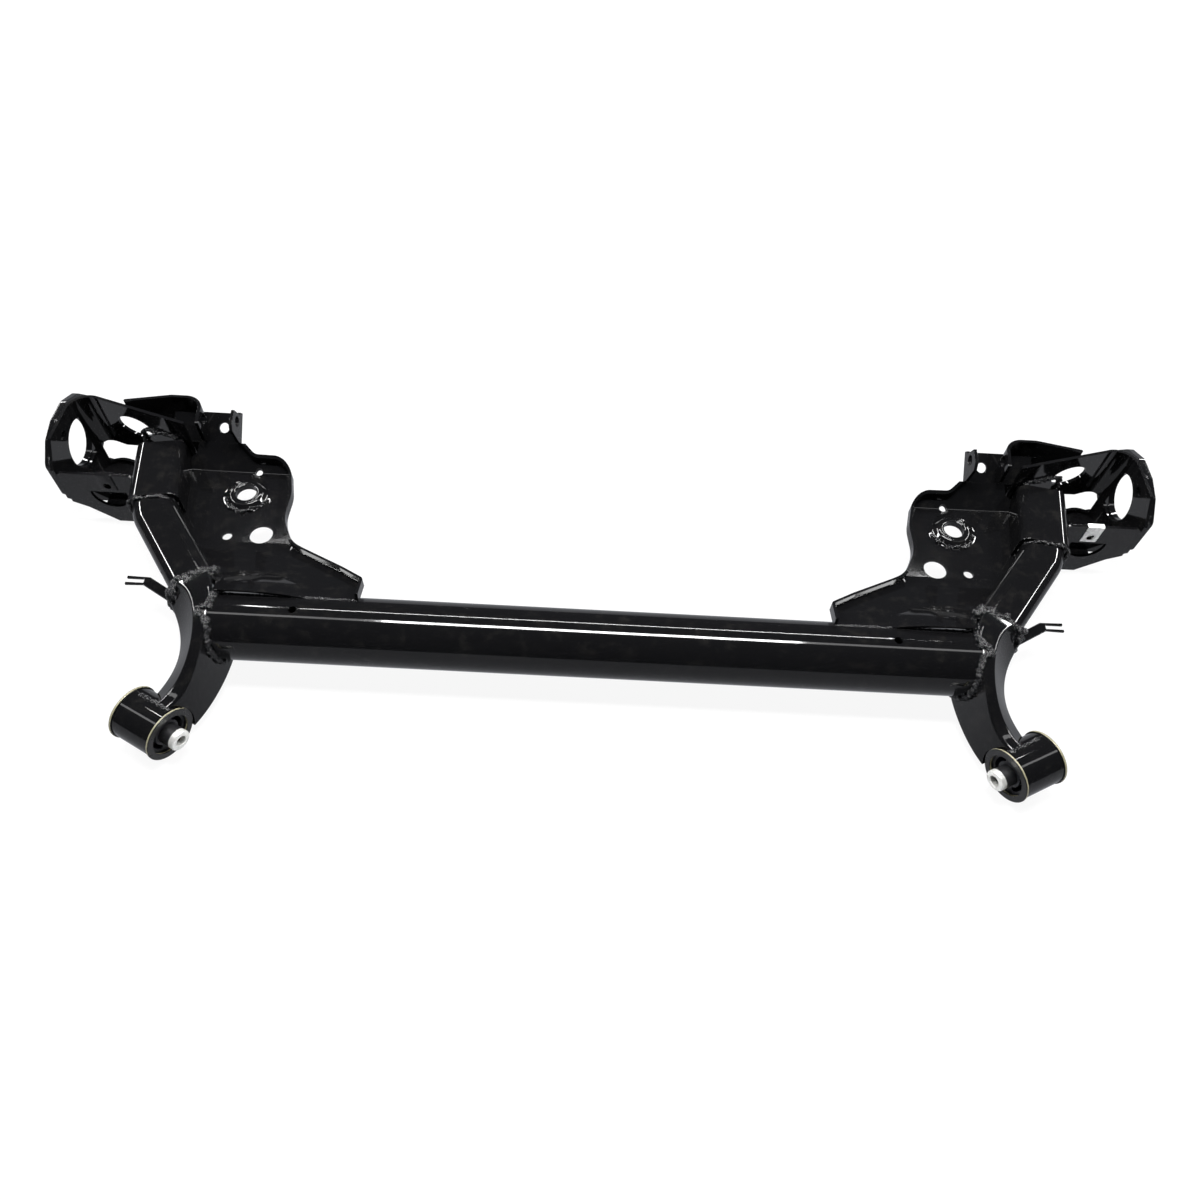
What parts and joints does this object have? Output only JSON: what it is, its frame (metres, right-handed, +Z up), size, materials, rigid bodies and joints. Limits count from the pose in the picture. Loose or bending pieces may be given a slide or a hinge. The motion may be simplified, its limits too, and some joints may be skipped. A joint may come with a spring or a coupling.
{
  "type": "rear torsion beam axle",
  "caption": "Black rear torsion beam axle with a crushed tube beam, trailing arms, front bushes, spring pans, damper clevises and hub plates.",
  "frame": {"origin": "centre of the footprint at floor height", "axes": "+X across the axle to the vehicle's left, +Y to the rear, +Z up"},
  "size_m": [1.36, 0.475, 0.125],
  "materials": {
    "black_paint": "gloss",
    "plate_paint": "semi-gloss",
    "shell_coat": "satin",
    "bush_rubber": "matte",
    "sleeve_metal": "satin",
    "clip_zinc": "satin"
  },
  "bodies": {
    "root": {"torsion_beam": "black_paint", "bush_housing_left": "black_paint", "bush_housing_right": "black_paint", "bush_outer_shell_left": "shell_coat", "bush_outer_shell_right": "shell_coat", "bush_rubber_left": "bush_rubber", "bush_rubber_right": "bush_rubber", "bush_inner_sleeve_left": "sleeve_metal", "bush_inner_sleeve_right": "sleeve_metal", "front_arm_left": "black_paint", "front_arm_right": "black_paint", "rear_arm_left": "black_paint", "rear_arm_right": "black_paint", "arm_saddle_left": "black_paint", "arm_saddle_right": "black_paint", "hub_plate_left": "plate_paint", "hub_plate_right": "plate_paint", "hub_bracket_left": "black_paint", "hub_bracket_right": "black_paint", "hub_front_wall_left": "black_paint", "hub_front_wall_right": "black_paint", "clip_nut_left": "clip_zinc", "clip_nut_right": "black_paint", "damper_bracket_left": "black_paint", "damper_bracket_right": "black_paint", "damper_clevis_plate_left": "black_paint", "damper_clevis_plate_right": "black_paint", "spring_pan_left": "black_paint", "spring_pan_right": "black_paint", "brake_line_bracket_left": "black_paint", "brake_line_bracket_right": "black_paint"}
  },
  "joints": []
}
